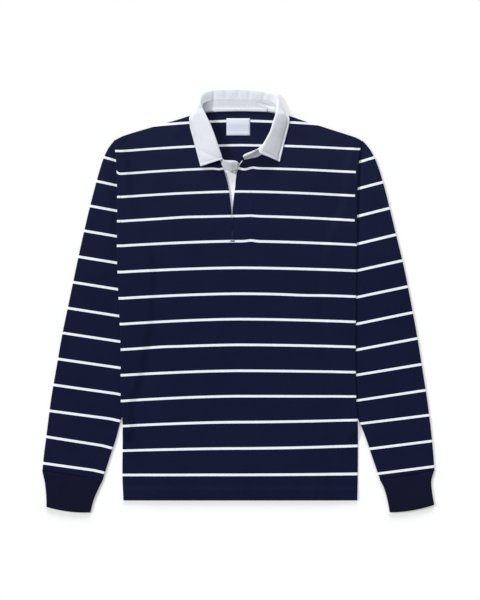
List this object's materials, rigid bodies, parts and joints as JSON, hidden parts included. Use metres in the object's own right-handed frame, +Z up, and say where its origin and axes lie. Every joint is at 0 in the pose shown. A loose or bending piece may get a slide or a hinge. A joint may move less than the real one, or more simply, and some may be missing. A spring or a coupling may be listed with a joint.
{
  "type": "rugby shirt",
  "caption": "Long-sleeve rugby shirt laid flat on its back: striped navy jersey, white twill collar and slit placket, rib cuffs, straight hem.",
  "frame": {"origin": "on the surface that the shirt lies on, under the middle of its laid-out box", "axes": "+X to the right for someone looking down on the shirt, +Y from the hem to the collar, +Z up off the surface"},
  "size_m": [0.7259, 0.784, 0.0217],
  "materials": {
    "jersey": "matt cotton jersey, navy with thin white cross stripes",
    "rib": "dark navy rib knit",
    "twill": "white cotton twill",
    "label": "woven white label, bare",
    "button": "soft matt rubber"
  },
  "bodies": {
    "root": {"back": "jersey", "front": "jersey", "sleeve_left": "jersey", "sleeve_right": "jersey", "cuff_left": "rib", "cuff_right": "rib", "collar_stand": "twill", "collar_fall": "twill", "neck_tape": "twill", "placket_under": "twill", "placket_facing": "twill", "label": "label", "button": "button"}
  },
  "joints": []
}
